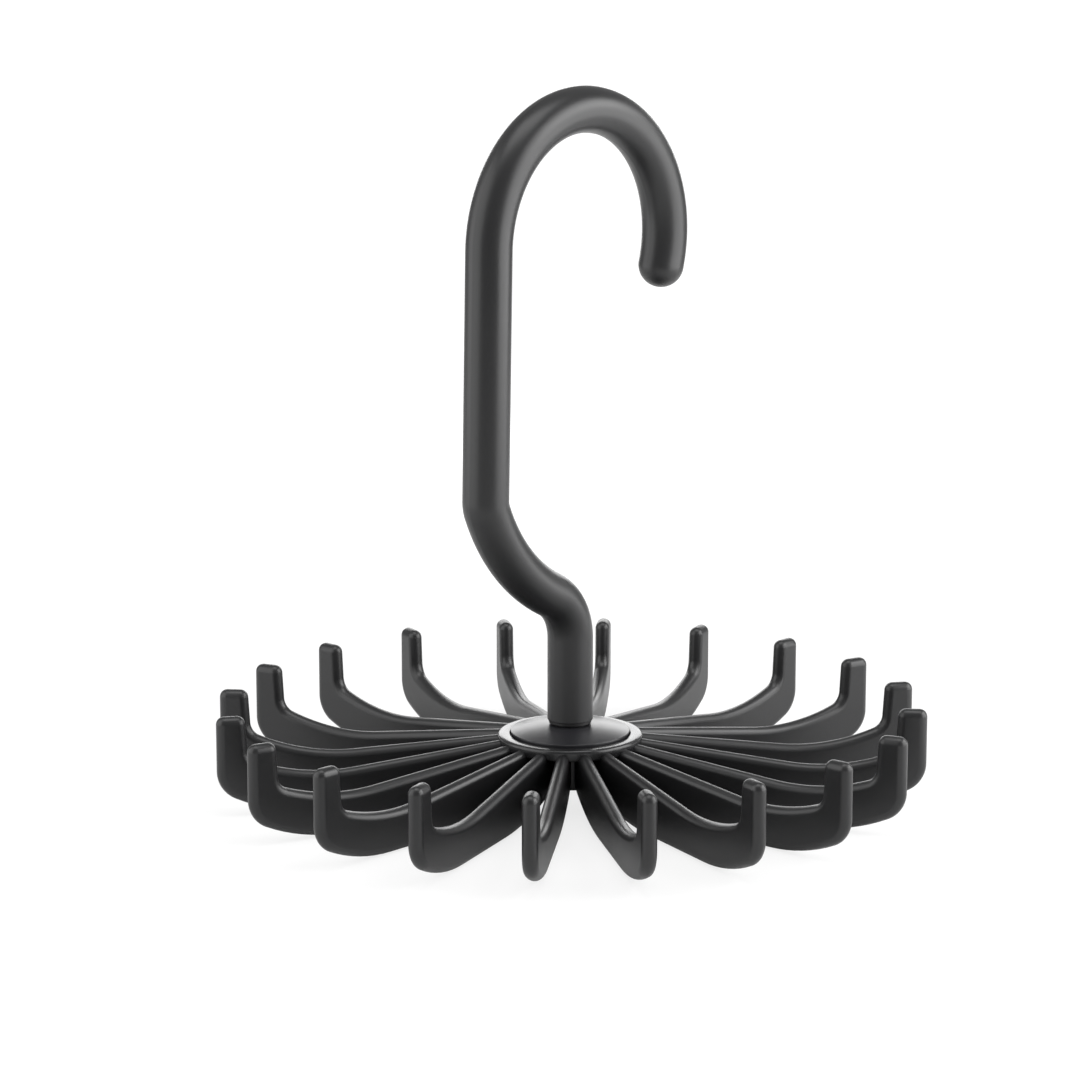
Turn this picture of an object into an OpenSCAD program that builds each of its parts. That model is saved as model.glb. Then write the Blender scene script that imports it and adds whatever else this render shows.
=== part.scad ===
// Revolving tie hanger: a moulded hook whose stem carries a turning wheel of twenty arms.
// Z is up and the wheel turns about the Z axis. Z = 0 is the surface that the arms stand on.
// The hook lies in the XZ plane with its tip towards +X, and arm_01 points along +X.

/* [Hook] */
// Diameter of the moulded rod
rod_d = 7.1; // [6.4:0.1:8]
// Clear diameter inside the crook, where the rail goes
crook_inner_d = 32.6; // [30:0.1:38]
// Turn of the crook in degrees, from the top of the rod round to its tip
crook_angle = 195; // [180:1:205]
// Length of the straight rod below the crook
rod_len = 37.4; // [30:0.5:60]
// Lean of the straight rod towards the crook, in degrees
lean_angle = 1.3; // [0:0.1:3]
// Turn of the knee at the foot of the rod, in degrees
knee_angle = 23.6; // [15:0.1:30]
// Radius left on the inner side of the knee
knee_inner_r = 0.7; // [0.5:0.1:4]
// Radius of the long sweep below the knee, on the rod's centreline
sweep_r = 29.2; // [25:0.1:40]
// Turn of the bend above the stem, away from the wheel's axis, in degrees
stem_angle = 63.2; // [55:0.1:66]
// Radius of the bend above the stem, on the rod's centreline
stem_bend_r = 8.6; // [7.5:0.1:12]
// Straight length of the stem between the neck and its bend
stem_len = 12.9; // [8:0.1:20]

/* [Pivot] */
// Diameter of the neck that shows between the stem and the disc
neck_d = 6.6; // [6:0.1:6.9]
// Height of the neck
neck_h = 0.5; // [0.3:0.1:2]
// Diameter of the spigot that the wheel turns on
spigot_d = 5.6; // [4.8:0.1:5.8]
// Gap all round between the spigot and what turns on it
spigot_gap = 0.08; // [0.05:0.01:0.1]
// Play of the wheel along the spigot, at the neck and again at the washer
end_play = 0.15; // [0.1:0.01:0.3]

/* [Hub] */
// Diameter of the rim round the thrust disc
rim_d = 22.4; // [21:0.1:24]
// Depth of the rim, from its top to its underside
rim_h = 1.8; // [1.6:0.1:2.2]
// Rounding of the rim's outer edges
rim_edge_r = 0.4; // [0.2:0.05:0.6]
// Diameter of the hub's core, where the arms grow together
core_d = 16; // [15.4:0.1:18]
// Height of the hub, from its underside to the top of the rim
hub_h = 7.2; // [6.2:0.1:7.5]
// Height of the hub's underside over the surface that the arms stand on
hub_lift = 3.1; // [2.9:0.1:4.5]
// Depth of the recess that the thrust disc lies in
disc_recess = 1; // [0.6:0.1:1.2]
// Depth of the recess that the washer lies in, under the hub
washer_recess = 1; // [0.5:0.1:1.5]

/* [Thrust disc] */
// Diameter of the thrust disc
disc_d = 18.4; // [17:0.1:19]
// Height of the disc's upright edge
disc_edge_h = 1.4; // [1:0.1:1.8]
// Rise of the disc's dome over that edge
disc_rise = 1.2; // [0.8:0.1:2.5]
// Gap round the disc in its recess
disc_gap = 0.15; // [0.1:0.01:0.3]

/* [Arms] */
// Number of arms round the wheel
arm_count = 20; // [16:1:20]
// Diameter over the fingers
wheel_d = 110; // [106:1:120]
// Height of the fingers over the surface that the arms stand on
arm_h = 15.6; // [14.6:0.1:18]
// Thickness of an arm at its finger
arm_t = 2.4; // [2:0.05:2.5]
// Thickness of an arm at the hub
arm_root_t = 2; // [1.8:0.05:2.2]
// Width of a finger at its top, along the arm
finger_w = 4.4; // [4:0.1:5.5]
// Draft of the finger's inner face, in degrees
draft_angle = 3.5; // [0:0.5:6]
// Rounding of the finger's top corners
finger_corner_r = 1.25; // [1.25:0.05:1.6]
// Distance of the arm's top edge below the top of the rim, where the two meet
rim_stand = 0.7; // [0.5:0.05:0.9]
// Fall of the arm's top edge on its way out from the rim, in degrees
fall_angle = 7.5; // [5:0.5:8]
// Radius of the saddle that a tie lies in
saddle_r = 32; // [26:0.5:38]
// Climb of the saddle where it turns up into the finger, in degrees
climb_angle = 20; // [15:1:25]
// Radius between the saddle and the finger
notch_r = 2.2; // [2:0.1:4]
// Radius of the toe, the arm's outer lower corner
toe_r = 4.8; // [3:0.1:6]
// Turn of the toe, from upright to the belly, in degrees
toe_angle = 65; // [60:1:70]
// Radius of the belly's outer end
belly_r = 28.5; // [24:0.5:34]
// Distance from the axis at which the belly leaves the surface that it stands on
belly_in = 25; // [22:0.5:30]

/* [Washer and screw] */
// Outer diameter of the retaining washer
washer_d = 10; // [9:0.1:11]
// Thickness of the retaining washer
washer_t = 0.8; // [0.5:0.1:1]
// Gap round the washer in its recess
washer_gap = 0.3; // [0.2:0.05:0.5]
// Core diameter of the self-tapping screw
screw_core_d = 2.3; // [2:0.1:2.6]
// Gap all round between the screw's core and what it passes through
screw_gap = 0.02; // [0.01:0.01:0.05]
// Length of the screw under its head
screw_len = 8; // [6:0.5:10]
// Length of the screw's point
screw_point_h = 1.2; // [0.8:0.1:2]
// Depth of the pilot hole past the screw's point
pilot_extra = 0.8; // [0.5:0.1:2]
// Diameter of the screw's head
head_d = 5.6; // [5:0.1:6]
// Height of the screw's head
head_h = 1.9; // [1.6:0.1:2.1]
// Upright edge of the screw's head, next to the washer
head_edge_h = 0.7; // [0.5:0.1:1]
// Length of the cross recess, tip to tip
cross_len = 3; // [2.5:0.1:3.4]
// Width of the cross recess
cross_w = 0.7; // [0.5:0.05:0.9]
// Depth of the cross recess
cross_depth = 1; // [0.6:0.1:1.2]

/* [Hidden] */
$fn = 96;
// Overrun of a cut past the face that it opens in
cut = 0.5;
// Extra thickness of the balls that join the rod's runs and bends into one body
joint_extra = 0.02;

moulded = "#2b2c2e";
moulded_gloss = "#333437";
zinc = "#b9bcc0";

core_r = core_d / 2;
rim_r = rim_d / 2;
wheel_r = wheel_d / 2;
crook_r = (crook_inner_d + rod_d) / 2;
knee_r = knee_inner_r + rod_d / 2;
// What the sweep turns back, so that the knee leaves the rod at its lean
sweep_angle = stem_angle + lean_angle - knee_angle;

hub_top = hub_lift + hub_h;
rim_under = hub_top - rim_h;
disc_seat = hub_top - disc_recess;
washer_seat = hub_lift + washer_recess;
running_d = spigot_d + 2 * spigot_gap;

// The disc's dome is a ball's cap over the upright edge
dome_r = (pow(disc_d / 2, 2) + pow(disc_rise, 2)) / (2 * disc_rise);
dome_centre = disc_seat + disc_edge_h + disc_rise - dome_r;
disc_top = dome_centre + sqrt(pow(dome_r, 2) - pow(running_d / 2, 2));

neck_foot = disc_top + end_play;
stem_foot = neck_foot + neck_h;
spigot_end = washer_seat - end_play;
head_top = spigot_end - washer_t;
head_dome_h = head_h - head_edge_h;
head_dome_r = (pow(head_d / 2, 2) + pow(head_dome_h, 2)) / (2 * head_dome_h);
pilot_d = screw_core_d + 2 * screw_gap;
pilot_depth = screw_len - washer_t + pilot_extra;

// Steps round the arm's curves, with as many points along its top as along its bottom
saddle_steps = 5;
notch_steps = 5;
corner_steps = 4;
toe_steps = 6;
belly_steps = 3;
lift_steps = 3;
// Steps across an arm's thickness, from one flat side over the round edge to the other
across_steps = 6;

function arm_name(i) = str("arm_", i < 10 ? "0" : "", i);

// A ball that joins two runs of the rod
module rod_ball() {
    sphere(d = rod_d + joint_extra);
}

// A straight run of the rod, with its children at its far end
module run(len) {
    cylinder(h = len, d = rod_d);
    translate([0, 0, len]) {
        rod_ball();
        children();
    }
}

// A bend of the rod towards +X, or towards -X where the angle is negative, with its children at its far end
module bend(radius, angle) {
    side = angle < 0 ? -radius : radius;
    translate([side, 0, 0]) rotate([90, 0, 0]) rotate([0, 0, angle < 0 ? 0 : 180 - angle])
        rotate_extrude(angle = abs(angle)) translate([radius, 0]) circle(d = rod_d);
    translate([side, 0, 0]) rotate([0, angle, 0]) translate([-side, 0, 0]) {
        rod_ball();
        children();
    }
}

// One moulding: crook, rod, knee, sweep, stem, neck and the spigot with its pilot hole
module hook() color(moulded) difference() {
    union() {
        translate([0, 0, stem_foot])
            run(stem_len) bend(stem_bend_r, -stem_angle) bend(sweep_r, sweep_angle)
            bend(knee_r, knee_angle) run(rod_len) bend(crook_r, crook_angle);
        // The neck and the spigot run on into the stem, so that the three are one body
        translate([0, 0, neck_foot]) cylinder(h = 2 * neck_h, d = neck_d);
        translate([0, 0, spigot_end]) cylinder(h = stem_foot + neck_h - spigot_end, d = spigot_d);
    }
    translate([0, 0, spigot_end - cut]) cylinder(h = pilot_depth + cut, d = pilot_d);
}

// The domed disc that the neck bears on when the hanger stands on its arms
module thrust_disc() color(moulded_gloss) difference() {
    intersection() {
        translate([0, 0, disc_seat]) cylinder(h = disc_edge_h + disc_rise, d = disc_d);
        translate([0, 0, dome_centre]) sphere(r = dome_r);
    }
    translate([0, 0, disc_seat - cut]) cylinder(h = disc_edge_h + disc_rise + 2 * cut, d = running_d);
}

// The rim's section with its outer edges rounded
module rim_section() {
    for (z = [rim_under + rim_edge_r, hub_top - rim_edge_r])
        translate([rim_r - rim_edge_r, z]) circle(r = rim_edge_r);
    translate([0, rim_under]) square([rim_r - rim_edge_r, rim_h]);
    translate([0, rim_under + rim_edge_r]) square([rim_r, rim_h - 2 * rim_edge_r]);
}

// The hub that the arms grow from, bored for the spigot, with a recess above and below
module hub() color(moulded) difference() {
    union() {
        rotate_extrude() rim_section();
        translate([0, 0, hub_lift]) cylinder(h = hub_h - rim_h, r = core_r);
    }
    translate([0, 0, hub_lift - cut]) cylinder(h = hub_h + 2 * cut, d = running_d);
    translate([0, 0, disc_seat]) cylinder(h = disc_recess + cut, d = disc_d + 2 * disc_gap);
    translate([0, 0, hub_lift - cut]) cylinder(h = washer_recess + cut, d = washer_d + 2 * washer_gap);
}

// The arm's outline is walked outwards along its top and outwards along its bottom.
// Each point is [distance from the axis, height, heading of the walk], and the arm's
// material lies to the right of the walk along the top, and to the left along the bottom.
// A turn to the left has a positive radius and one to the right a negative one.
function turn_points(centre, radius, from, to, steps) =
    [for (i = [0 : steps]) let (h = from + (to - from) * i / steps)
        [centre[0] + radius * sin(h), centre[1] - radius * cos(h), h]];
function turn_shift(radius, from, to) =
    [radius * (sin(to) - sin(from)), radius * (cos(from) - cos(to))];
function rest(list) = [for (i = [1 : len(list) - 1]) list[i]];

// The finger's inner face leans outwards by its draft
finger_heading = 90 - draft_angle;
function finger_in(z) = wheel_r - finger_w - (arm_h - z) * tan(draft_angle);

// The saddle and the notch hang between the slope from the rim and the finger's inner face
saddle_shift = turn_shift(saddle_r, -fall_angle, climb_angle);
notch_shift = turn_shift(notch_r, climb_angle, finger_heading);
arm_rim_top = hub_top - rim_stand;
slope_end_out = finger_in(0) - saddle_shift[0] - notch_shift[0] - rim_r;
notch_end_z = (saddle_shift[1] + notch_shift[1] + arm_rim_top - slope_end_out * tan(fall_angle))
    / (1 + tan(draft_angle) * tan(fall_angle));
notch_end = [finger_in(notch_end_z), notch_end_z];
notch_start = notch_end - notch_shift;
saddle_start = notch_start - saddle_shift;

saddle_centre = saddle_start + saddle_r * [sin(fall_angle), cos(fall_angle)];
notch_centre = notch_start + notch_r * [-sin(climb_angle), cos(climb_angle)];
inner_corner_z = arm_h - finger_corner_r;
inner_corner = [
    finger_in(arm_h - finger_corner_r * (1 - cos(finger_heading))) + finger_corner_r * sin(finger_heading),
    inner_corner_z];

top_points = concat(
    turn_points(saddle_centre, saddle_r, -fall_angle, climb_angle, saddle_steps),
    rest(turn_points(notch_centre, notch_r, climb_angle, finger_heading, notch_steps)),
    turn_points(inner_corner, -finger_corner_r, finger_heading, 0, corner_steps));

// The belly stands on Z = 0 between the lift towards the hub and the climb towards the toe
belly_climb = 90 - toe_angle;
lift_r = (pow(belly_in - core_r, 2) + pow(hub_lift, 2)) / (2 * hub_lift);
lift_angle = asin((belly_in - core_r) / lift_r);
toe_centre = [wheel_r - toe_r, belly_r * (1 - cos(belly_climb)) + toe_r * cos(belly_climb)];
belly_out = toe_centre[0] + toe_r * sin(belly_climb) - belly_r * sin(belly_climb);

bottom_points = concat(
    turn_points([belly_in, lift_r], lift_r, -lift_angle, 0, lift_steps),
    turn_points([belly_out, belly_r], belly_r, 0, belly_climb, belly_steps),
    rest(turn_points(toe_centre, toe_r, belly_climb, 90, toe_steps)),
    turn_points([wheel_r - finger_corner_r, inner_corner_z], finger_corner_r, 90, 180, corner_steps));

// Half the arm's thickness at a distance from the axis
function half_t(out) =
    (arm_root_t + (arm_t - arm_root_t) * (out - core_r) / (wheel_r - core_r)) / 2;

// A point of the outline drawn in from the edge and moved across the arm, where side is
// -1 along the top and 1 along the bottom, and across goes from -90 to 90 degrees
function edge_point(p, side, across) =
    let (inset = half_t(p[0]) * (1 - cos(across)),
        out = p[0] - side * inset * sin(p[2]),
        z = p[1] + side * inset * cos(p[2]))
    [out, half_t(out) * sin(across), z];

// A point where the arm meets the hub's round wall of the given radius
function seat_point(radius, z, across) =
    let (y = half_t(radius) * sin(across)) [sqrt(pow(radius, 2) - pow(y, 2)), y, z];
function root_inset(radius, slope, across) = half_t(radius) * (1 - cos(across)) / cos(slope);

function top_row(across) = concat(
    [seat_point(core_r, rim_under, across),
     seat_point(rim_r, rim_under, across),
     seat_point(rim_r, arm_rim_top - root_inset(rim_r, fall_angle, across), across)],
    [for (p = top_points) edge_point(p, -1, across)]);
function bottom_row(across) = concat(
    [seat_point(core_r, hub_lift + root_inset(core_r, lift_angle, across), across)],
    [for (i = [1 : len(bottom_points) - 1]) edge_point(bottom_points[i], 1, across)]);

row_len = len(top_points) + 3;
loop_len = 2 * row_len;
arm_points = [for (k = [0 : across_steps]) let (across = 180 * k / across_steps - 90)
    each concat(top_row(across), [for (i = [row_len - 1 : -1 : 0]) bottom_row(across)[i]])];

function wall(k, i) = let (j = (i + 1) % loop_len, a = k * loop_len, b = a + loop_len)
    [[a + i, b + i, a + j], [a + j, b + i, b + j]];
// A flat side is a strip of triangles between the top row and the bottom row
function side_strip(a, i) = let (t = a + i, u = a + loop_len - 1 - i)
    [[t, t + 1, u], [t + 1, u - 1, u]];
function flipped(faces) = [for (f = faces) [f[2], f[1], f[0]]];
arm_faces = concat(
    [for (k = [0 : across_steps - 1], i = [0 : loop_len - 1]) each wall(k, i)],
    [for (i = [0 : row_len - 2]) each side_strip(0, i)],
    [for (i = [0 : row_len - 2]) each flipped(side_strip(across_steps * loop_len, i))]);

// One of the arms: a thin blade with round edges, a saddle for a tie and an upright finger
module arm(i) {
    color(moulded) rotate([0, 0, 360 * (i - 1) / arm_count]) polyhedron(arm_points, arm_faces);
}

// The washer that the hub turns on when the hanger hangs
module retaining_washer() color(zinc) translate([0, 0, head_top]) difference() {
    cylinder(h = washer_t, d = washer_d);
    translate([0, 0, -cut]) cylinder(h = washer_t + 2 * cut, d = pilot_d);
}

// The self-tapping screw that holds the washer against the end of the spigot
module pan_head_screw() color(zinc) translate([0, 0, head_top]) {
    difference() {
        intersection() {
            translate([0, 0, -head_h]) cylinder(h = head_h, d = head_d);
            translate([0, 0, head_dome_r - head_h]) sphere(r = head_dome_r);
        }
        for (a = [0, 90]) rotate([0, 0, a]) translate([-cross_len / 2, -cross_w / 2, -head_h - cut])
            cube([cross_len, cross_w, cross_depth + cut]);
    }
    cylinder(h = screw_len - screw_point_h, d = screw_core_d);
    translate([0, 0, screw_len - screw_point_h])
        cylinder(h = screw_point_h, d1 = screw_core_d, d2 = 0);
}

hook();
thrust_disc();
hub();
retaining_washer();
pan_head_screw();
for (i = [1 : arm_count])
    arm(i);
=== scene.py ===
"""Looks of a revolving tie hanger: a moulded hook that carries a turning wheel of thin arms."""

import math

import bmesh
import bpy
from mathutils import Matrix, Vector


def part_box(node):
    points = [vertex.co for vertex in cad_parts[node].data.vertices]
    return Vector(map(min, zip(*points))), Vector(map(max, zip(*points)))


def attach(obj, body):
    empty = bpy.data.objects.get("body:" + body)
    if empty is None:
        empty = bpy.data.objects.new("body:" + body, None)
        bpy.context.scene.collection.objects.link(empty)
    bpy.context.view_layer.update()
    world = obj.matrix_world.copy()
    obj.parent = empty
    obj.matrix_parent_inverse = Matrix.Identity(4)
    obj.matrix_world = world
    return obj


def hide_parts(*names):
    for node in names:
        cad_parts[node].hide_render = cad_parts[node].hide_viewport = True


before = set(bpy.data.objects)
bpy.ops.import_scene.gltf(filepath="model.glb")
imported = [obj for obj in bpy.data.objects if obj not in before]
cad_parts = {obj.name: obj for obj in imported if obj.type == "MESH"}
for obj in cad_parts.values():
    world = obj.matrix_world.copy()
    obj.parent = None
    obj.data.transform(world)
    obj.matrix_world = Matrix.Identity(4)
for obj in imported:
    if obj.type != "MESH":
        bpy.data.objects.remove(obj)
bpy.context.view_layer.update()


# Arms
# Twenty thin blades of satin black polypropylene, moulded in one shot with the hub. Each dips into
# a saddle that a tie lies in and turns up into a finger. Their edges are rounded, so that no thread
# of a tie catches on them.

MM = 0.001
arm_count = sum(name.startswith("arm_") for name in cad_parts)
arm_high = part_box("arm_01")[1] / MM
wheel_r = arm_high.x
arm_h = arm_high.z
arm_t = 2.4
arm_root_t = 2.0
across_steps = 14
# Width of the strip beside an arm's round edge that keeps its flat side flat to the eye
support_w = 0.04
finger_w = 4.4
finger_draft = 3.5
finger_corner_r = 1.25
saddle_fall = 7.5
saddle_r = 32
saddle_climb = 20
notch_r = 2.2
toe_r = 4.8
toe_turn = 65
belly_r = 28.5
belly_in = 25

hub_low, hub_high = (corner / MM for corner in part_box("hub"))
hub_lift = hub_low.z
hub_top = hub_high.z
rim_r = hub_high.x
rim_h = 1.8
core_r = 8
rim_stand = 0.7
# How far the arms' roots reach into the hub's wall and up into its rim, so that no light shows there
root_sink = 0.3
step_sink = 0.05
# Points closer than this are one, and an edge that bends by more degrees than this is crisp
merge_w = 0.001
crisp_angle = 35

saddle_steps, notch_steps, corner_steps = 22, 12, 8
lift_steps, belly_steps, toe_steps = 9, 8, 19


def turn_points(centre, radius, start, end, steps):
    """The points of a walk round a bend, each with its heading in degrees."""
    headings = [start + (end - start) * i / steps for i in range(steps + 1)]
    return [
        (
            centre[0] + radius * math.sin(math.radians(h)),
            centre[1] - radius * math.cos(math.radians(h)),
            h,
        )
        for h in headings
    ]


def turn_shift(radius, start, end):
    """How far out and up a bend moves the walk."""
    a, b = math.radians(start), math.radians(end)
    return Vector((radius * (math.sin(b) - math.sin(a)), radius * (math.cos(a) - math.cos(b))))


def into_material(heading, side):
    """The way from the edge into the arm, below its top edge and above its bottom edge."""
    h = math.radians(heading)
    return -side * math.sin(h), side * math.cos(h)


def arm_top():
    """The top edge from the hub to the finger's tip: slope, saddle, notch, finger, corner."""
    lean = math.tan(math.radians(finger_draft))
    fall = math.tan(math.radians(saddle_fall))
    finger_heading = 90 - finger_draft

    def finger_in(z):
        return wheel_r - finger_w - (arm_h - z) * lean

    saddle_shift = turn_shift(saddle_r, -saddle_fall, saddle_climb)
    notch_shift = turn_shift(notch_r, saddle_climb, finger_heading)
    rim_top = hub_top - rim_stand
    slope_out = finger_in(0) - saddle_shift[0] - notch_shift[0] - rim_r
    notch_end_z = (saddle_shift[1] + notch_shift[1] + rim_top - slope_out * fall) / (1 + lean * fall)
    notch_start = Vector((finger_in(notch_end_z), notch_end_z)) - notch_shift
    saddle_start = notch_start - saddle_shift
    a, b = math.radians(saddle_fall), math.radians(saddle_climb)
    saddle_centre = saddle_start + saddle_r * Vector((math.sin(a), math.cos(a)))
    notch_centre = notch_start + notch_r * Vector((-math.sin(b), math.cos(b)))
    h = math.radians(finger_heading)
    corner_z = arm_h - finger_corner_r
    corner_out = finger_in(arm_h - finger_corner_r * (1 - math.cos(h))) + finger_corner_r * math.sin(h)
    walk = turn_points(saddle_centre, saddle_r, -saddle_fall, saddle_climb, saddle_steps)
    walk += turn_points(notch_centre, notch_r, saddle_climb, finger_heading, notch_steps)[1:]
    walk += turn_points((corner_out, corner_z), -finger_corner_r, finger_heading, 0, corner_steps)
    step_z = hub_top - rim_h + step_sink
    root = [
        (core_r - root_sink, step_z, 0, 0),
        (rim_r - root_sink, step_z, 0, 0),
        (rim_r - root_sink, rim_top + root_sink * fall, 0, -1),
    ]
    return root + [(out, up, *into_material(heading, -1)) for out, up, heading in walk]


def arm_bottom():
    """The bottom edge from the hub to the finger's tip: lift, belly, toe, back of the finger, corner."""
    climb = 90 - toe_turn
    c = math.radians(climb)
    lift_r = ((belly_in - core_r) ** 2 + hub_lift**2) / (2 * hub_lift)
    lift_angle = math.degrees(math.asin((belly_in - core_r) / lift_r))
    toe_centre = (wheel_r - toe_r, belly_r * (1 - math.cos(c)) + toe_r * math.cos(c))
    belly_out = toe_centre[0] + (toe_r - belly_r) * math.sin(c)
    corner = (wheel_r - finger_corner_r, arm_h - finger_corner_r)
    walk = turn_points((belly_in, lift_r), lift_r, -lift_angle, 0, lift_steps)[1:]
    walk += turn_points((belly_out, belly_r), belly_r, 0, climb, belly_steps)
    walk += turn_points(toe_centre, toe_r, climb, 90, toe_steps)[1:]
    walk += turn_points(corner, finger_corner_r, 90, 180, corner_steps)
    root = [(core_r - root_sink, hub_lift + root_sink, 0, 1)]
    return root + [(out, up, *into_material(heading, 1)) for out, up, heading in walk]


def half_thickness(out):
    """Half the arm's thickness at a distance from the wheel's axis."""
    share = (out - core_r) / (wheel_r - core_r)
    return (arm_root_t + (arm_t - arm_root_t) * share) / 2


def arm_mesh():
    """One blade along +X: its outline in layers from one flat side over the round edge to the other."""
    outline = arm_top() + arm_bottom()[::-1]
    turns = [math.radians(180 * i / across_steps - 90) for i in range(across_steps + 1)]
    layers = [(turns[0], support_w)] + [(turn, 0) for turn in turns] + [(turns[-1], support_w)]
    bm = bmesh.new()
    rings = []
    for turn, support in layers:
        ring = []
        for out, up, way_out, way_up in outline:
            inset = half_thickness(out) * (1 - math.cos(turn)) + support
            x, z = out + inset * way_out, up + inset * way_up
            ring.append(bm.verts.new(Vector((x, half_thickness(x) * math.sin(turn), z)) * MM))
        rings.append(ring)
    count = len(outline)
    for lower, upper in zip(rings, rings[1:]):
        for i in range(count):
            j = (i + 1) % count
            bm.faces.new((lower[i], lower[j], upper[j], upper[i]))
    for ring in (rings[0], rings[-1]):
        for i in range(count // 2 - 1):
            j = count - 1 - i
            bm.faces.new((ring[i], ring[j], ring[j - 1], ring[i + 1]))
    return shaded_mesh("arm_blade", bm)


def shaded_mesh(name, bm):
    """Merges what meets, turns all faces outwards and shades them smooth, up to a crisp edge."""
    bmesh.ops.remove_doubles(bm, verts=bm.verts, dist=merge_w * MM)
    bmesh.ops.recalc_face_normals(bm, faces=bm.faces)
    for face in bm.faces:
        face.smooth = True
    for edge in bm.edges:
        edge.smooth = len(edge.link_faces) == 2 and edge.calc_face_angle() < math.radians(crisp_angle)
    mesh = bpy.data.meshes.new(name)
    bm.to_mesh(mesh)
    bm.free()
    return mesh


def add_node(tree, kind, inputs=None, **settings):
    """Adds a node. A socket among its inputs is linked, and any other value is set."""
    made = tree.nodes.new(kind)
    for name, value in settings.items():
        setattr(made, name, value)
    for key, value in (inputs or {}).items():
        if isinstance(value, bpy.types.NodeSocket):
            tree.links.new(value, made.inputs[key])
        else:
            made.inputs[key].default_value = value
    return made


def linear(code):
    """An sRGB hex colour as linear RGBA."""
    shares = [int(code[i : i + 2], 16) / 255 for i in (1, 3, 5)]
    return [s / 12.92 if s <= 0.04045 else ((s + 0.055) / 1.055) ** 2.4 for s in shares] + [1]


def new_material(name):
    """An empty material, its tree and its output."""
    material = bpy.data.materials.new(name)
    material.use_nodes = True
    material.node_tree.nodes.clear()
    return material, material.node_tree, add_node(material.node_tree, "ShaderNodeOutputMaterial")


def polypropylene(name, deep, pale, finest, coarsest, seed):
    """Polypropylene, black all through. Its satin comes from the mould's spark-eroded grain, which is
    finer than a tenth of a millimetre and drawn 0.3 mm wide here so that it shows. The melt's flow
    leaves broad, faint changes of gloss, from the finest to the coarsest roughness given."""
    material, tree, output = new_material(name)
    place = add_node(tree, "ShaderNodeTexCoord").outputs["Object"]
    shifted = add_node(tree, "ShaderNodeMapping", {"Vector": place, "Location": (seed, seed, 0)})
    flow = add_node(
        tree,
        "ShaderNodeTexNoise",
        {"Vector": shifted.outputs["Vector"], "Scale": 1 / (14 * MM), "Detail": 3, "Roughness": 0.5},
    )
    grain = add_node(
        tree,
        "ShaderNodeTexNoise",
        {"Vector": shifted.outputs["Vector"], "Scale": 1 / (0.3 * MM), "Detail": 2, "Roughness": 0.6},
    )
    tone = add_node(
        tree,
        "ShaderNodeMix",
        {0: flow.outputs["Fac"], 6: linear(deep), 7: linear(pale)},
        data_type="RGBA",
    )
    gloss = add_node(
        tree,
        "ShaderNodeMapRange",
        {
            "Value": flow.outputs["Fac"],
            "From Min": 0.3,
            "From Max": 0.7,
            "To Min": finest,
            "To Max": coarsest,
        },
    )
    relief = add_node(
        tree,
        "ShaderNodeBump",
        {"Height": grain.outputs["Fac"], "Strength": 0.25, "Distance": 0.02 * MM},
    )
    shader = add_node(
        tree,
        "ShaderNodeBsdfPrincipled",
        {
            "Base Color": tone.outputs[2],
            "Roughness": gloss.outputs["Result"],
            "Normal": relief.outputs["Normal"],
            "IOR": 1.49,
        },
    )
    tree.links.new(shader.outputs["BSDF"], output.inputs["Surface"])
    return material


def new_tree(name, **sockets):
    """A Geometry Nodes tree with a geometry in and out and other named inputs."""
    tree = bpy.data.node_groups.new(name, "GeometryNodeTree")
    tree.interface.new_socket("Geometry", in_out="OUTPUT", socket_type="NodeSocketGeometry")
    tree.interface.new_socket("Geometry", in_out="INPUT", socket_type="NodeSocketGeometry")
    for label, kind in sockets.items():
        tree.interface.new_socket(label, in_out="INPUT", socket_type="NodeSocket" + kind)
    given = add_node(tree, "NodeGroupInput").outputs
    return tree, given, add_node(tree, "NodeGroupOutput")


def finished(tree, geometry, material, output):
    """Ends a tree: its copies become one mesh with one material."""
    real = add_node(tree, "GeometryNodeRealizeInstances", {"Geometry": geometry})
    dressed = add_node(
        tree,
        "GeometryNodeSetMaterial",
        {"Geometry": real.outputs["Geometry"], "Material": material},
    )
    tree.links.new(dressed.outputs["Geometry"], output.inputs["Geometry"])


def grown(name, data, tree, **values):
    """Runs a tree on some mesh or curve and gives the result as a plain mesh object."""
    source = bpy.data.objects.new(name + "_source", data)
    bpy.context.scene.collection.objects.link(source)
    modifier = source.modifiers.new(tree.name, "NODES")
    modifier.node_group = tree
    for item in tree.interface.items_tree:
        if item.in_out == "INPUT" and item.name in values:
            modifier[item.identifier] = values[item.name]
    evaluated = source.evaluated_get(bpy.context.evaluated_depsgraph_get())
    mesh = bpy.data.meshes.new_from_object(evaluated)
    source.modifiers.remove(modifier)
    bpy.data.objects.remove(source)
    return placed(name, mesh)


def placed(name, mesh):
    """A mesh as an object at the origin."""
    mesh.name = name
    made = bpy.data.objects.new(name, mesh)
    bpy.context.scene.collection.objects.link(made)
    return made


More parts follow.
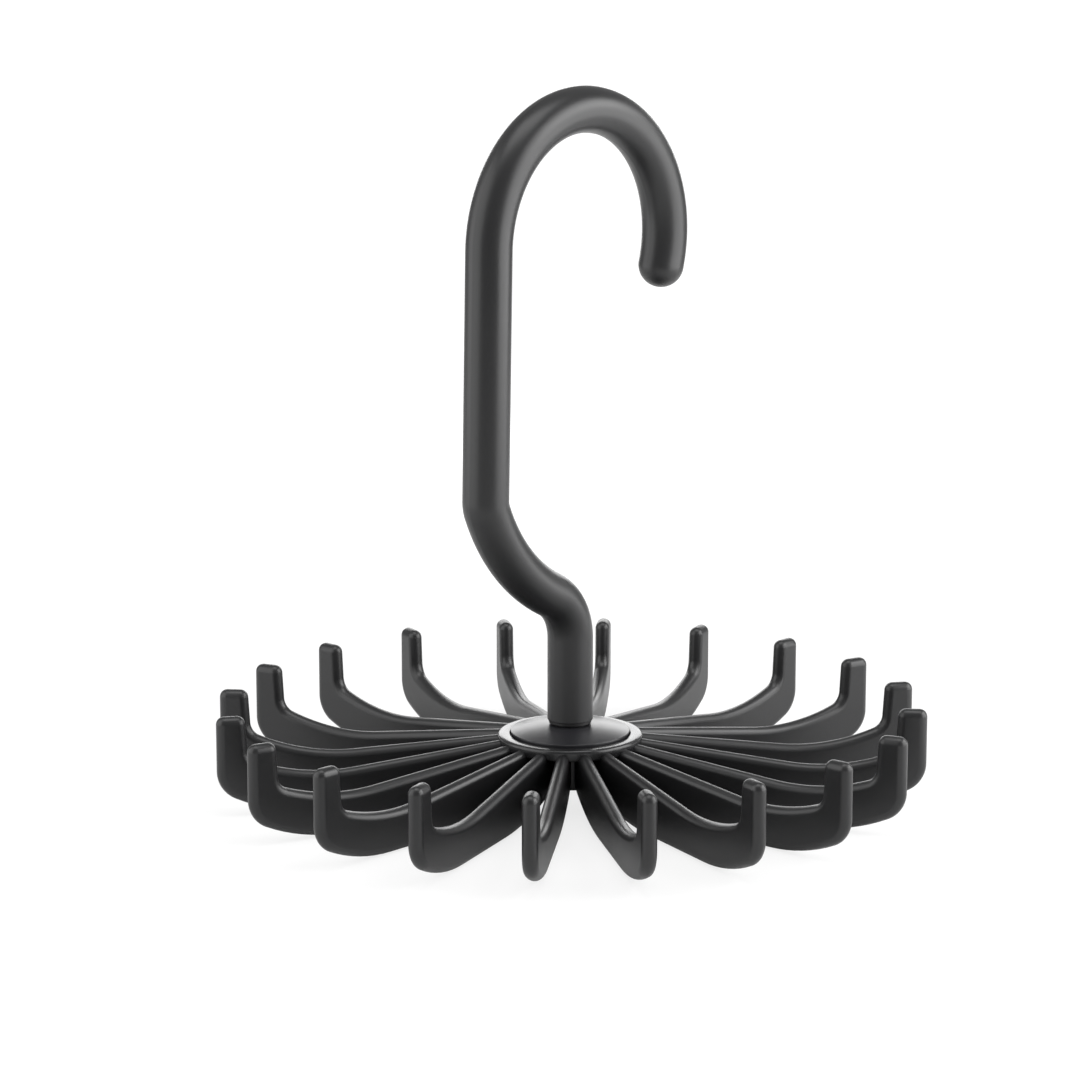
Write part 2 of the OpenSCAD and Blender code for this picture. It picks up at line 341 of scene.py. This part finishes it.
def ring_tree():
    """Copies of one piece at even steps round the Z axis."""
    tree, given, output = new_tree("ring_of_arms", Count="Int", Material="Material")
    points = add_node(tree, "GeometryNodePoints", {"Count": given["Count"]})
    index = add_node(tree, "GeometryNodeInputIndex")
    pitch = add_node(
        tree, "ShaderNodeMath", {0: 2 * math.pi, 1: given["Count"]}, operation="DIVIDE"
    )
    angle = add_node(
        tree,
        "ShaderNodeMath",
        {0: index.outputs["Index"], 1: pitch.outputs["Value"]},
        operation="MULTIPLY",
    )
    turn = add_node(tree, "ShaderNodeCombineXYZ", {"Z": angle.outputs["Value"]})
    copies = add_node(
        tree,
        "GeometryNodeInstanceOnPoints",
        {
            "Points": points.outputs["Points"],
            "Instance": given["Geometry"],
            "Rotation": turn.outputs["Vector"],
        },
    )
    finished(tree, copies.outputs["Instances"], given["Material"], output)
    return tree


wheel_plastic = polypropylene("satin_polypropylene_arms", "#151516", "#1b1b1c", 0.33, 0.38, 0)
arms = grown("arms", arm_mesh(), ring_tree(), Count=arm_count, Material=wheel_plastic)
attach(arms, "wheel")
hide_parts(*[f"arm_{i:02d}" for i in range(1, arm_count + 1)])


# Hub
# The round middle of the wheel, one moulding with the arms. Its rim, polished in the mould, stands
# round the disc on top, a core carries the arms' roots, and a bore runs on the hook's spigot.

bore_r = 2.88
disc_recess_r = 9.35
disc_recess_h = 1
disc_seat = hub_top - disc_recess_h
washer_recess_r = 5.3
washer_recess_h = 1
washer_seat = hub_lift + washer_recess_h
# Roundings of the hub's corners, from the washer's recess out to the rim and in to the disc's recess
bore_edge_r = 0.1
washer_corner_r = 0.15
washer_mouth_r = 0.2
core_foot_r = 0.4
core_neck_r = 0.3
rim_low_r = 0.4
rim_top_r = 0.5
disc_mouth_r = 0.12
disc_corner_r = 0.1
round_segments = 128


def rounded(corners, steps=6):
    """A closed outline of [radius, height, rounding] corners, with an arc in each corner."""
    points = []
    for i, (r, z, rounding) in enumerate(corners):
        here = Vector((r, z))
        back = (Vector(corners[i - 1][:2]) - here).normalized()
        ahead = (Vector(corners[(i + 1) % len(corners)][:2]) - here).normalized()
        if rounding == 0:
            points.append(here)
            continue
        half = back.angle(ahead) / 2
        centre = here + (back + ahead).normalized() * (rounding / math.sin(half))
        first = here + back * (rounding / math.tan(half)) - centre
        last = here + ahead * (rounding / math.tan(half)) - centre
        sweep = first.angle_signed(last)
        for k in range(steps + 1):
            a = -sweep * k / steps
            c, s = math.cos(a), math.sin(a)
            points.append(centre + Vector((first.x * c - first.y * s, first.x * s + first.y * c)))
    return points


def spun_into(bm, outline, closed=True, segments=round_segments):
    """Spins an outline in millimetres about the Z axis, with a single point where it meets the axis."""
    rings = []
    for r, z in outline:
        if r < 1e-6:
            rings.append([bm.verts.new((0, 0, z * MM))] * segments)
            continue
        turns = [2 * math.pi * k / segments for k in range(segments)]
        rings.append([bm.verts.new((r * math.cos(t) * MM, r * math.sin(t) * MM, z * MM)) for t in turns])
    pairs = list(zip(rings, rings[1:]))
    if closed:
        pairs.append((rings[-1], rings[0]))
    for a, b in pairs:
        for k in range(segments):
            j = (k + 1) % segments
            corners = list(dict.fromkeys((a[k], a[j], b[j], b[k])))
            if len(corners) > 2:
                bm.faces.new(corners)


def spun(name, outline, closed=True):
    """An object spun from an outline."""
    bm = bmesh.new()
    spun_into(bm, outline, closed)
    return placed(name, shaded_mesh(name, bm))


hub = spun(
    "hub_moulding",
    rounded(
        [
            (bore_r, washer_seat, bore_edge_r),
            (washer_recess_r, washer_seat, washer_corner_r),
            (washer_recess_r, hub_lift, washer_mouth_r),
            (core_r, hub_lift, core_foot_r),
            (core_r, hub_top - rim_h, core_neck_r),
            (rim_r, hub_top - rim_h, rim_low_r),
            (rim_r, hub_top, rim_top_r),
            (disc_recess_r, hub_top, disc_mouth_r),
            (disc_recess_r, disc_seat, disc_corner_r),
            (bore_r, disc_seat, bore_edge_r),
        ]
    ),
)
hub.data.materials.append(
    polypropylene("polished_polypropylene_hub", "#151516", "#1b1b1c", 0.2, 0.25, 0)
)
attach(hub, "wheel")
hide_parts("hub")


# Thrust disc
# A domed washer of black acetal that lies in the hub's recess. The foot of the hook's neck slides
# on it, so it is moulded smoother than the rest and shines more.

disc_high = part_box("thrust_disc")[1] / MM
disc_r = disc_high.x
disc_edge_h = 1.4
disc_rise = 1.2
disc_edge_r = 0.12
disc_draft_w = 0.25
disc_edge_steps = 5
dome_steps = 24


def disc_outline():
    """The disc's section: a flat underside, a drafted edge with a small rounding, and the dome."""
    dome_r = (disc_r**2 + disc_rise**2) / (2 * disc_rise)
    centre_z = disc_seat + disc_edge_h + disc_rise - dome_r
    start, end = math.asin((disc_r - disc_edge_r) / dome_r), math.asin(bore_r / dome_r)
    dome = [start + (end - start) * i / dome_steps for i in range(dome_steps + 1)]
    edge_z = centre_z + dome_r * math.cos(start) - disc_edge_r
    corner = [math.radians(90 * i / disc_edge_steps) for i in range(disc_edge_steps)]
    return (
        [Vector((bore_r, disc_seat)), Vector((disc_r - disc_draft_w, disc_seat))]
        + [
            Vector((disc_r - disc_edge_r * (1 - math.cos(a)), edge_z + disc_edge_r * math.sin(a)))
            for a in corner
        ]
        + [Vector((dome_r * math.sin(a), centre_z + dome_r * math.cos(a))) for a in dome]
    )


def smooth_acetal():
    """Acetal from a polished mould: black, dense and slippery, with a clear soft gloss. The
    mould's turning marks are 0.02 mm apart; they are drawn 0.3 mm apart and very shallow."""
    material, tree, output = new_material("smooth_acetal")
    place = add_node(tree, "ShaderNodeTexCoord").outputs["Object"]
    rings = add_node(
        tree,
        "ShaderNodeTexWave",
        {"Vector": place, "Scale": 1 / (0.3 * MM) / 20, "Distortion": 0.4, "Detail": 2},
        wave_type="RINGS",
        rings_direction="Z",
    )
    cloud = add_node(
        tree, "ShaderNodeTexNoise", {"Vector": place, "Scale": 1 / (6 * MM), "Detail": 3}
    )
    gloss = add_node(
        tree,
        "ShaderNodeMapRange",
        {"Value": cloud.outputs["Fac"], "From Min": 0.3, "From Max": 0.7, "To Min": 0.27, "To Max": 0.32},
    )
    tone = add_node(
        tree,
        "ShaderNodeMix",
        {0: cloud.outputs["Fac"], 6: linear("#1c1c1e"), 7: linear("#242427")},
        data_type="RGBA",
    )
    relief = add_node(
        tree,
        "ShaderNodeBump",
        {"Height": rings.outputs["Fac"], "Strength": 0.1, "Distance": 0.01 * MM},
    )
    shader = add_node(
        tree,
        "ShaderNodeBsdfPrincipled",
        {
            "Base Color": tone.outputs[2],
            "Roughness": gloss.outputs["Result"],
            "Normal": relief.outputs["Normal"],
            "IOR": 1.48,
        },
    )
    tree.links.new(shader.outputs["BSDF"], output.inputs["Surface"])
    return material


disc = spun("thrust_disc_moulding", disc_outline())
disc.data.materials.append(smooth_acetal())
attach(disc, "wheel")
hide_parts("thrust_disc")


# Hook
# One moulding of satin black polypropylene: crook, straight rod, knee, long sweep, stem, neck, and
# the spigot that the wheel turns on. The mould parts in the hook's own plane, and its parting line
# stands a few hundredths of a millimetre proud along the inner and the outer side of the rod.

rod_r = 3.55
parting_h = 0.03
rod_body_r = rod_r - parting_h
# Where the parting line begins and ends, as shares of the rod's length
parting_start, parting_end = 0.005, 0.98
crook_inner_d = 32.6
crook_turn = 195
rod_len = 37.4
rod_lean = 1.3
knee_turn = 23.6
knee_inner_r = 0.7
sweep_r = 29.2
stem_turn = 63.2
stem_bend_r = 8.6
stem_len = 12.9
neck_r = 3.3
neck_h = 0.5
end_play = 0.15
spigot_r = 2.8
spigot_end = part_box("hook")[0].z / MM
neck_foot = disc_high.z + end_play
stem_foot = neck_foot + neck_h
pilot_r = 1.17
pilot_depth = 8
# Height of the rod's rounded foot, and the roundings from the pilot hole out to that foot
stem_round_h = 0.25
pilot_edge_r = 0.1
spigot_end_r = 0.3
spigot_root_r = 0.05
neck_foot_r = 0.15
neck_top_r = 0.05
stem_foot_r = 0.15
rod_segments = 96
degrees_a_ring = 2.5
tip_steps = 14


class Walk:
    """The rod's centreline in the hook's plane, as [x, z, radius] points."""

    def __init__(self, x, z, radius):
        self.x, self.z, self.radius, self.heading = x, z, radius, 90.0
        self.points = [(x, z, radius)]

    def run(self, length):
        h = math.radians(self.heading)
        self.x += length * math.cos(h)
        self.z += length * math.sin(h)
        self.points.append((self.x, self.z, self.radius))

    def bend(self, radius, turn):
        """Turns to the right by that many degrees, or to the left where turn is negative."""
        side = math.copysign(1, turn)
        h = math.radians(self.heading)
        cx = self.x + side * radius * math.sin(h)
        cz = self.z - side * radius * math.cos(h)
        steps = math.ceil(abs(turn) / degrees_a_ring)
        for i in range(1, steps + 1):
            a = h - math.radians(turn) * i / steps
            self.x = cx - side * radius * math.sin(a)
            self.z = cz + side * radius * math.cos(a)
            self.points.append((self.x, self.z, self.radius))
        self.heading -= turn

    def ball(self, steps):
        """Ends the rod in a half ball."""
        h = math.radians(self.heading)
        for i in range(1, steps + 1):
            a = math.radians(90 * i / steps)
            reach = self.radius * math.sin(a)
            self.points.append(
                (self.x + reach * math.cos(h), self.z + reach * math.sin(h), self.radius * math.cos(a))
            )


def rod_curve():
    """The centreline as a curve, from the foot of the stem to the tip."""
    walk = Walk(0, stem_foot + stem_round_h, rod_body_r)
    walk.run(stem_len - stem_round_h)
    walk.bend(stem_bend_r, -stem_turn)
    walk.bend(sweep_r, stem_turn + rod_lean - knee_turn)
    walk.bend(knee_inner_r + rod_r, knee_turn)
    walk.run(rod_len)
    walk.bend((crook_inner_d + 2 * rod_r) / 2, crook_turn)
    walk.ball(tip_steps)
    curve = bpy.data.curves.new("rod_centreline", "CURVE")
    curve.dimensions = "3D"
    spline = curve.splines.new("POLY")
    spline.points.add(len(walk.points) - 1)
    for point, (x, z, radius) in zip(spline.points, walk.points):
        point.co = (x * MM, 0, z * MM, 1)
        point.radius = radius
    return curve


def rod_tree():
    """A rod along a curve, as thick as the curve's radius says, with a parting line on two sides."""
    tree, given, output = new_tree(
        "moulded_rod",
        Segments="Int",
        Unit="Float",
        Parting="Float",
        Start="Float",
        End="Float",
        Material="Material",
    )
    profile = add_node(
        tree,
        "GeometryNodeCurvePrimitiveCircle",
        {"Resolution": given["Segments"], "Radius": given["Unit"]},
    )
    index = add_node(tree, "GeometryNodeInputIndex")
    half = add_node(tree, "ShaderNodeMath", {0: given["Segments"], 1: 2}, operation="DIVIDE")
    left_over = add_node(
        tree,
        "ShaderNodeMath",
        {0: index.outputs["Index"], 1: half.outputs["Value"]},
        operation="MODULO",
    )
    on_line = add_node(
        tree, "ShaderNodeMath", {0: left_over.outputs["Value"], 1: 0.5}, operation="LESS_THAN"
    )
    marked = add_node(tree, "GeometryNodeCaptureAttribute", {"Geometry": profile.outputs["Curve"]})
    marked.capture_items.new("FLOAT", "On Line")
    tree.links.new(on_line.outputs["Value"], marked.inputs["On Line"])
    along = add_node(tree, "GeometryNodeSplineParameter")
    measured = add_node(tree, "GeometryNodeCaptureAttribute", {"Geometry": given["Geometry"]})
    measured.capture_items.new("FLOAT", "Along")
    tree.links.new(along.outputs["Factor"], measured.inputs["Along"])
    radius = add_node(tree, "GeometryNodeInputRadius")
    swept = add_node(
        tree,
        "GeometryNodeCurveToMesh",
        {
            "Curve": measured.outputs["Geometry"],
            "Profile Curve": marked.outputs["Geometry"],
            "Scale": radius.outputs["Radius"],
        },
    )
    begun = add_node(
        tree,
        "ShaderNodeMath",
        {0: measured.outputs["Along"], 1: given["Start"]},
        operation="GREATER_THAN",
    )
    not_over = add_node(
        tree,
        "ShaderNodeMath",
        {0: measured.outputs["Along"], 1: given["End"]},
        operation="LESS_THAN",
    )
    here = add_node(
        tree,
        "ShaderNodeMath",
        {0: begun.outputs["Value"], 1: not_over.outputs["Value"]},
        operation="MULTIPLY",
    )
    shown = add_node(
        tree,
        "ShaderNodeMath",
        {0: here.outputs["Value"], 1: marked.outputs["On Line"]},
        operation="MULTIPLY",
    )
    height = add_node(
        tree,
        "ShaderNodeMath",
        {0: shown.outputs["Value"], 1: given["Parting"]},
        operation="MULTIPLY",
    )
    normal = add_node(tree, "GeometryNodeInputNormal")
    offset = add_node(
        tree,
        "ShaderNodeVectorMath",
        {0: normal.outputs["Normal"], "Scale": height.outputs["Value"]},
        operation="SCALE",
    )
    ridged = add_node(
        tree,
        "GeometryNodeSetPosition",
        {"Geometry": swept.outputs["Mesh"], "Offset": offset.outputs["Vector"]},
    )
    finished(tree, ridged.outputs["Geometry"], given["Material"], output)
    return tree


def pivot_outline():
    """Pilot hole, spigot, neck and the rounded foot of the stem, from the axis to the rod's wall."""
    corners = [
        (0, spigot_end + pilot_depth, 0),
        (pilot_r, spigot_end + pilot_depth, 0),
        (pilot_r, spigot_end, pilot_edge_r),
        (spigot_r, spigot_end, spigot_end_r),
        (spigot_r, neck_foot, spigot_root_r),
        (neck_r, neck_foot, neck_foot_r),
        (neck_r, stem_foot, neck_top_r),
        (rod_body_r, stem_foot, stem_foot_r),
        (rod_body_r, stem_foot + stem_round_h, 0),
    ]
    return rounded(corners)


hook_plastic = polypropylene("satin_polypropylene_hook", "#161617", "#1c1c1d", 0.33, 0.38, 0.07)
rod = grown(
    "rod",
    rod_curve(),
    rod_tree(),
    Segments=rod_segments,
    Unit=MM,
    Parting=parting_h * MM,
    Start=parting_start,
    End=parting_end,
    Material=hook_plastic,
)
bm = bmesh.new()
bm.from_mesh(rod.data)
spun_into(bm, pivot_outline(), closed=False, segments=rod_segments)
bpy.data.objects.remove(rod)
hook = placed("hook_moulding", shaded_mesh("hook_moulding", bm))
hook.data.materials.append(hook_plastic)
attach(hook, "hook")
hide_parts("hook")


# Washer and screw
# A zinc-plated steel washer keeps the wheel on the spigot when the hanger hangs. A pan-head
# self-tapping screw with a cross recess holds it from below, its thread cut into the spigot.

washer_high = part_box("retaining_washer")[1] / MM
screw_low, screw_high = (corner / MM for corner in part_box("pan_head_screw"))
washer_r = washer_high.x
washer_t = 0.8
washer_top = washer_high.z
head_top = washer_top - washer_t
head_r = 2.8
head_low = screw_low.z
head_edge_h = 0.7
head_dome_steps = 12
head_chamfer = 0.15
screw_core_r = 1.15
screw_gap = 0.02
screw_point_h = 1.2
thread_out = 0.3
thread_pitch = 1.1
cross_half = 1.5
cross_half_w = 0.35
cross_depth = 1.0
# Width of the recess at its foot as a share of its mouth, and how far its cutter stands out of it
cross_taper = 0.6
cross_overrun = 1
# Roundings of the washer: soft where the punch went in below, sharper above and round the hole
washer_low_r = 0.2
washer_top_r = 0.12
washer_hole_r = 0.08


def zinc_plated_steel():
    """Steel with a bright zinc plating and a clear passivation: a pale blue-grey metal with a soft
    shine, faintly cloudy where the crystals of the plating differ."""
    material, tree, output = new_material("zinc_plated_steel")
    place = add_node(tree, "ShaderNodeTexCoord").outputs["Object"]
    cloud = add_node(
        tree, "ShaderNodeTexNoise", {"Vector": place, "Scale": 1 / (1.5 * MM), "Detail": 4}
    )
    tone = add_node(
        tree,
        "ShaderNodeMix",
        {0: cloud.outputs["Fac"], 6: linear("#b4b8bd"), 7: linear("#cfd2d4")},
        data_type="RGBA",
    )
    gloss = add_node(
        tree,
        "ShaderNodeMapRange",
        {"Value": cloud.outputs["Fac"], "From Min": 0.3, "From Max": 0.7, "To Min": 0.22, "To Max": 0.38},
    )
    grain = add_node(
        tree, "ShaderNodeTexNoise", {"Vector": place, "Scale": 1 / (0.12 * MM), "Detail": 2}
    )
    relief = add_node(
        tree,
        "ShaderNodeBump",
        {"Height": grain.outputs["Fac"], "Strength": 0.2, "Distance": 0.005 * MM},
    )
    shader = add_node(
        tree,
        "ShaderNodeBsdfPrincipled",
        {
            "Base Color": tone.outputs[2],
            "Metallic": 1.0,
            "Roughness": gloss.outputs["Result"],
            "Normal": relief.outputs["Normal"],
        },
    )
    tree.links.new(shader.outputs["BSDF"], output.inputs["Surface"])
    return material


def thread_tree():
    """A three-sided ridge along a spiral round the screw's core."""
    tree, given, output = new_tree(
        "screw_thread",
        Turns="Float",
        Rise="Float",
        Core="Float",
        Ridge="Float",
        Foot="Float",
        Material="Material",
    )
    spiral = add_node(
        tree,
        "GeometryNodeCurveSpiral",
        {
            "Resolution": 24,
            "Rotations": given["Turns"],
            "Start Radius": given["Core"],
            "End Radius": given["Core"],
            "Height": given["Rise"],
        },
    )
    ridge = add_node(
        tree,
        "GeometryNodeCurvePrimitiveCircle",
        {"Resolution": 3, "Radius": given["Ridge"]},
    )
    swept = add_node(
        tree,
        "GeometryNodeCurveToMesh",
        {
            "Curve": spiral.outputs["Curve"],
            "Profile Curve": ridge.outputs["Curve"],
            "Fill Caps": True,
        },
    )
    foot = add_node(tree, "ShaderNodeCombineXYZ", {"Z": given["Foot"]})
    lifted = add_node(
        tree,
        "GeometryNodeSetPosition",
        {"Geometry": swept.outputs["Mesh"], "Offset": foot.outputs["Vector"]},
    )
    finished(tree, lifted.outputs["Geometry"], given["Material"], output)
    return tree


def screw_outline():
    """The screw's section: pan head, core and point."""
    dome_h = head_top - head_low - head_edge_h
    dome_r = (head_r**2 + dome_h**2) / (2 * dome_h)
    sweep = math.asin(head_r / dome_r)
    angles = [sweep * i / head_dome_steps for i in range(head_dome_steps + 1)]
    dome = [
        Vector((dome_r * math.sin(a), head_low + dome_r * (1 - math.cos(a)))) for a in angles
    ]
    return dome + [
        Vector((head_r, head_top - head_chamfer)),
        Vector((head_r - head_chamfer, head_top)),
        Vector((screw_core_r, head_top)),
        Vector((screw_core_r, screw_high.z - screw_point_h)),
        Vector((0, screw_high.z)),
    ]


def cut_cross(screw):
    """Cuts the cross recess into the head."""
    bm = bmesh.new()
    for half_x, half_y in ((cross_half, cross_half_w), (cross_half_w, cross_half)):
        made = bmesh.ops.create_cube(bm, size=1)["verts"]
        for v in made:
            deep = v.co.z > 0
            slim = cross_taper if deep else 1
            z = head_low + cross_depth if deep else head_low - cross_overrun
            v.co = Vector((v.co.x * 2 * half_x * slim, v.co.y * 2 * half_y * slim, z)) * MM
    mesh = bpy.data.meshes.new("cross_cutter")
    bm.to_mesh(mesh)
    bm.free()
    cutter = placed("cross_cutter", mesh)
    modifier = screw.modifiers.new("cross", "BOOLEAN")
    modifier.object = cutter
    modifier.solver = "EXACT"
    modifier.use_self = True
    evaluated = screw.evaluated_get(bpy.context.evaluated_depsgraph_get())
    cut = bpy.data.meshes.new_from_object(evaluated)
    screw.modifiers.clear()
    screw.data = cut
    bpy.data.objects.remove(cutter)


zinc = zinc_plated_steel()
washer = spun(
    "retaining_washer_zinc",
    rounded(
        [
            (screw_core_r + screw_gap, head_top, washer_hole_r),
            (washer_r, head_top, washer_low_r),
            (washer_r, washer_top, washer_top_r),
            (screw_core_r + screw_gap, washer_top, washer_hole_r),
        ],
        steps=4,
    ),
)
washer.data.materials.append(zinc)
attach(washer, "hook")
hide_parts("retaining_washer")

screw = spun("pan_head_screw_zinc", screw_outline(), closed=False)
cut_cross(screw)
screw.data.materials.clear()
screw.data.materials.append(zinc)
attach(screw, "hook")
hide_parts("pan_head_screw")

thread_rise = screw_high.z - screw_point_h - washer_top
thread = grown(
    "screw_thread",
    bpy.data.meshes.new("thread_start"),
    thread_tree(),
    Turns=thread_rise / thread_pitch,
    Rise=thread_rise * MM,
    Core=(screw_core_r + screw_gap) * MM,
    Ridge=thread_out * MM,
    Foot=washer_top * MM,
    Material=zinc,
)
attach(thread, "hook")


# Floor, light and camera
# A pale floor that the hanger stands on, large lit cards close to it on both sides, over it and
# low behind it, and a long lens from the height and side that the photograph was taken from.

hook_bearing = 47.9987
view_rise = 14.6726
view_distance = 599.262
aim_left = 0.4605
aim_down = 12.3238
lens_mm = 129.12
# The share of white over the card in the camera's eyes, the white's level near the hanger and
# far from it, and the distances that near and far are
white_share = 0.75
white_near, white_far = 1.05, 1.35
near_r, far_r = 80, 260
world_level = 0.41
floor_gap = 0.05


def seen_from_camera(bearing, rise, distance, height):
    """A place that many millimetres from the wheel's axis, bearing degrees to the camera's right."""
    b, e = math.radians(bearing - 90 - hook_bearing), math.radians(rise)
    flat = distance * math.cos(e)
    return Vector((flat * math.cos(b), flat * math.sin(b), height + distance * math.sin(e))) * MM


def softbox(name, bearing, rise, distance, size, radiance, height=50):
    """A lit card that faces the wheel's axis at a height. It shows in reflections, and not to the
    camera."""
    lamp = bpy.data.lights.new(name, "AREA")
    lamp.shape = "RECTANGLE"
    lamp.size, lamp.size_y = (length * MM for length in size)
    lamp.energy = radiance * math.pi * lamp.size * lamp.size_y
    made = bpy.data.objects.new(name, lamp)
    bpy.context.scene.collection.objects.link(made)
    made.location = seen_from_camera(bearing, rise, distance, height)
    aim = Vector((0, 0, height * MM)) - made.location
    made.rotation_euler = aim.to_track_quat("-Z", "Y").to_euler()
    made.visible_camera = False


softbox("card_right", 80, 0, 240, (290, 300), 3.7, height=152)
softbox("glow_right", 96, 0, 236, (230, 100), 2.6, height=185)
softbox("card_left", -74, 0, 240, (330, 360), 1.8, height=182)
softbox("soft_top", 0, 84, 600, (520, 360), 3.0)
softbox("rear_card", 180, 0, 330, (300, 116), 1.1, height=60)
softbox("rear_strip", 180, 0, 325, (300, 90), 2.6, height=100)


def pale_floor():
    """White matt card. The camera sees a quarter of its lit colour, which keeps the hanger's soft
    shadow, under a white of its own that grows a little where less of the lamps' light falls."""
    material, tree, output = new_material("pale_card")
    to_camera = add_node(tree, "ShaderNodeLightPath").outputs["Is Camera Ray"]
    card = add_node(tree, "ShaderNodeBsdfDiffuse", {"Color": linear("#e6e6e6")})
    place = add_node(tree, "ShaderNodeTexCoord").outputs["Object"]
    away = add_node(tree, "ShaderNodeVectorMath", {0: place}, operation="LENGTH")
    white = add_node(
        tree,
        "ShaderNodeMapRange",
        {
            "Value": away.outputs["Value"],
            "From Min": near_r * MM,
            "From Max": far_r * MM,
            "To Min": white_near,
            "To Max": white_far,
        },
    )
    glow = add_node(
        tree,
        "ShaderNodeEmission",
        {"Color": linear("#ffffff"), "Strength": white.outputs["Result"]},
    )
    share = add_node(tree, "ShaderNodeMath", {0: to_camera, 1: white_share}, operation="MULTIPLY")
    both = add_node(
        tree,
        "ShaderNodeMixShader",
        {0: share.outputs["Value"], 1: card.outputs["BSDF"], 2: glow.outputs["Emission"]},
    )
    tree.links.new(both.outputs["Shader"], output.inputs["Surface"])
    return material


floor_half = 4000 * MM
bm = bmesh.new()
bmesh.ops.create_grid(bm, x_segments=1, y_segments=1, size=floor_half)
floor_mesh = bpy.data.meshes.new("floor")
bm.to_mesh(floor_mesh)
bm.free()
floor_mesh.materials.append(pale_floor())
floor = placed("floor", floor_mesh)
floor.location.z = -floor_gap * MM

world = bpy.data.worlds.new("studio")
bpy.context.scene.world = world
world.use_nodes = True
sky = world.node_tree
sky.nodes.clear()
to_camera = add_node(sky, "ShaderNodeLightPath").outputs["Is Camera Ray"]
level = add_node(
    sky, "ShaderNodeMapRange", {"Value": to_camera, "To Min": world_level, "To Max": 1.0}
)
back = add_node(
    sky,
    "ShaderNodeBackground",
    {"Color": linear("#ffffff"), "Strength": level.outputs["Result"]},
)
add_node(sky, "ShaderNodeOutputWorld", {"Surface": back.outputs["Background"]})

camera_data = bpy.data.cameras.new("camera")
camera_data.lens = lens_mm
camera_data.clip_start = 10 * MM
camera_data.clip_end = 20000 * MM
camera = bpy.data.objects.new("camera", camera_data)
bpy.context.scene.collection.objects.link(camera)
camera.location = seen_from_camera(0, view_rise, view_distance, arm_h)
camera.rotation_euler = (
    math.radians(90 - aim_down),
    0,
    math.radians(aim_left - hook_bearing),
)
bpy.context.scene.camera = camera
bpy.context.scene.view_settings.view_transform = "Standard"
